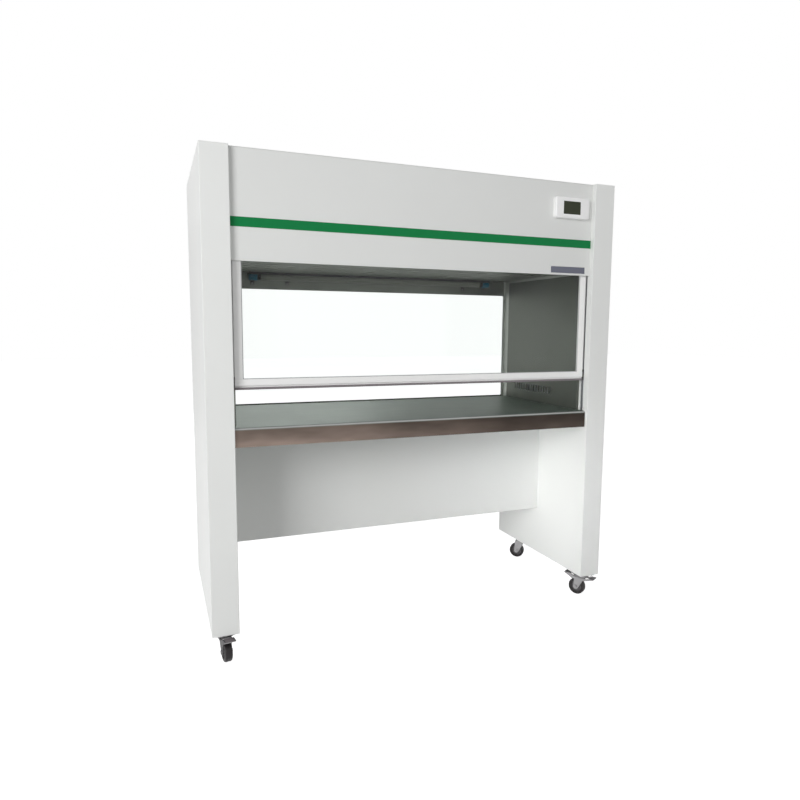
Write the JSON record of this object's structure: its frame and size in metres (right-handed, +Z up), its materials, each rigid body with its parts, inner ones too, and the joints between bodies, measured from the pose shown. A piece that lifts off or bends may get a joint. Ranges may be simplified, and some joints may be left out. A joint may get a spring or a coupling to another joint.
{
  "type": "vertical laminar flow cabinet",
  "caption": "Wide free-standing clean bench with two end panels on casters, a canopy with a sliding sash, a steel worktop and a see-through rear wall.",
  "frame": {"origin": "on the floor, at the middle of the end panels' footprint", "axes": "+X to the right of a person who sits in front, +Y from front to rear, +Z up"},
  "size_m": [1.48, 0.6565, 1.595],
  "materials": {
    "painted_white": "white powder coat, satin",
    "accent_green": "green gloss film",
    "stainless": "brushed stainless steel",
    "stainless_polished": "finely brushed, nearly mirror-like stainless steel",
    "galvanised": "galvanised sheet",
    "aluminium": "anodised",
    "sash_white": "white powder coat, semi-gloss",
    "grip_grey": "soft warm grey strip",
    "black_nylon": "black nylon",
    "clear_glass": "clear float glass",
    "gasket_rubber": "black rubber",
    "lamp_glass": "white coated lamp glass",
    "cap_blue": "blue plastic",
    "display_plastic": "white moulded plastic",
    "screen_dark": "dark grey-green liquid crystal screen",
    "plate_metal": "plain satin plate",
    "board_green": "circuit board",
    "filter_paper": "white pleated glass fibre paper",
    "filter_mat": "white non-woven mat",
    "motor_grey": "dark grey paint",
    "impeller_steel": "galvanised",
    "inlet_black": "black plastic",
    "zinc": "bright zinc plate",
    "wheel_dark": "dark grey tyre and hub"
  },
  "bodies": {
    "cabinet": {"accent_stripe": "accent_green", "bare_plate": "plate_metal", "blower_housing_left": "galvanised", "blower_housing_right": "galvanised", "blower_motor_left": "motor_grey", "blower_motor_right": "motor_grey", "canopy_front_panel": "painted_white", "canopy_rear_panel": "painted_white", "canopy_top_cover": "painted_white", "caster_bolts": "zinc", "caster_top_plates": "zinc", "ceiling_diffuser": "stainless", "chamber_liner_left": "stainless_polished", "chamber_liner_right": "stainless_polished", "control_board": "board_green", "display_housing": "display_plastic", "display_screen": "screen_dark", "end_panel_left": "painted_white", "end_panel_right": "painted_white", "filter_frame": "aluminium", "filter_media": "filter_paper", "lamp_ballast": "painted_white", "lamp_clips": "galvanised", "lamp_end_caps": "cap_blue", "lamp_tube": "lamp_glass", "mains_inlet": "inlet_black", "modesty_panel": "painted_white", "plenum_housing": "galvanised", "prefilter_mat": "filter_mat", "prefilter_tray": "galvanised", "rear_wall_frame": "stainless_polished", "rear_window_gasket": "gasket_rubber", "rear_window_glass": "clear_glass", "rear_window_retainer": "painted_white", "sash_guide_left": "aluminium", "sash_guide_right": "aluminium", "worktop": "stainless_polished", "worktop_stiffener": "galvanised", "worktop_support_left": "galvanised", "worktop_support_right": "galvanised"},
    "sash": {"sash_bottom_bar": "sash_white", "sash_glass": "clear_glass", "sash_glides": "black_nylon", "sash_grip": "grip_grey", "sash_stile_left": "sash_white", "sash_stile_right": "sash_white", "sash_top_rail": "sash_white"},
    "blower_left": {"blower_impeller_left": "impeller_steel"},
    "blower_right": {"blower_impeller_right": "impeller_steel"},
    "swivel_front_left": {"caster_front_left_fork": "zinc"},
    "wheel_front_left": {"caster_front_left_wheel": "wheel_dark"},
    "brake_front_left": {"caster_front_left_brake": "zinc"},
    "swivel_front_right": {"caster_front_right_fork": "zinc"},
    "wheel_front_right": {"caster_front_right_wheel": "wheel_dark"},
    "brake_front_right": {"caster_front_right_brake": "zinc"},
    "swivel_rear_left": {"caster_rear_left_fork": "zinc"},
    "wheel_rear_left": {"caster_rear_left_wheel": "wheel_dark"},
    "swivel_rear_right": {"caster_rear_right_fork": "zinc"},
    "wheel_rear_right": {"caster_rear_right_wheel": "wheel_dark"}
  },
  "joints": [
    {"name": "sash_slide", "type": "slide", "parent": "cabinet", "child": "sash", "axis": [0, 0, 1], "range_m": [-0.115, 0.19]},
    {"name": "blower_left_spin", "type": "hinge", "parent": "cabinet", "child": "blower_left", "pos_m": [-0.33, -0.02, 1.493], "axis": [1, 0, 0], "continuous": true},
    {"name": "blower_right_spin", "type": "hinge", "parent": "cabinet", "child": "blower_right", "pos_m": [0.33, -0.02, 1.493], "axis": [1, 0, 0], "continuous": true},
    {"name": "swivel_front_left_turn", "type": "hinge", "parent": "cabinet", "child": "swivel_front_left", "pos_m": [-0.6975, -0.2705, 0.08], "axis": [0, 0, 1], "continuous": true},
    {"name": "wheel_front_left_spin", "type": "hinge", "parent": "swivel_front_left", "child": "wheel_front_left", "pos_m": [-0.69437, -0.29025, 0.0325], "axis": [0.9877, 0.1564, 0], "continuous": true},
    {"name": "brake_front_left_press", "type": "hinge", "parent": "swivel_front_left", "child": "brake_front_left", "pos_m": [-0.69437, -0.29025, 0.07], "axis": [0.9877, 0.1564, 0], "range_deg": [0, 8]},
    {"name": "swivel_front_right_turn", "type": "hinge", "parent": "cabinet", "child": "swivel_front_right", "pos_m": [0.6975, -0.2705, 0.08], "axis": [0, 0, 1], "continuous": true},
    {"name": "wheel_front_right_spin", "type": "hinge", "parent": "swivel_front_right", "child": "wheel_front_right", "pos_m": [0.6875, -0.25318, 0.0325], "axis": [-0.866, -0.5, 0], "continuous": true},
    {"name": "brake_front_right_press", "type": "hinge", "parent": "swivel_front_right", "child": "brake_front_right", "pos_m": [0.6875, -0.25318, 0.07], "axis": [-0.866, -0.5, 0], "range_deg": [0, 8]},
    {"name": "swivel_rear_left_turn", "type": "hinge", "parent": "cabinet", "child": "swivel_rear_left", "pos_m": [-0.6975, 0.18, 0.08], "axis": [0, 0, 1], "continuous": true},
    {"name": "wheel_rear_left_spin", "type": "hinge", "parent": "swivel_rear_left", "child": "wheel_rear_left", "pos_m": [-0.68574, 0.16382, 0.0325], "axis": [0.809, 0.5878, 0], "continuous": true},
    {"name": "swivel_rear_right_turn", "type": "hinge", "parent": "cabinet", "child": "swivel_rear_right", "pos_m": [0.6975, 0.18, 0.08], "axis": [0, 0, 1], "continuous": true},
    {"name": "wheel_rear_right_spin", "type": "hinge", "parent": "swivel_rear_right", "child": "wheel_rear_right", "pos_m": [0.68287, 0.19364, 0.0325], "axis": [-0.682, -0.7314, 0], "continuous": true}
  ]
}
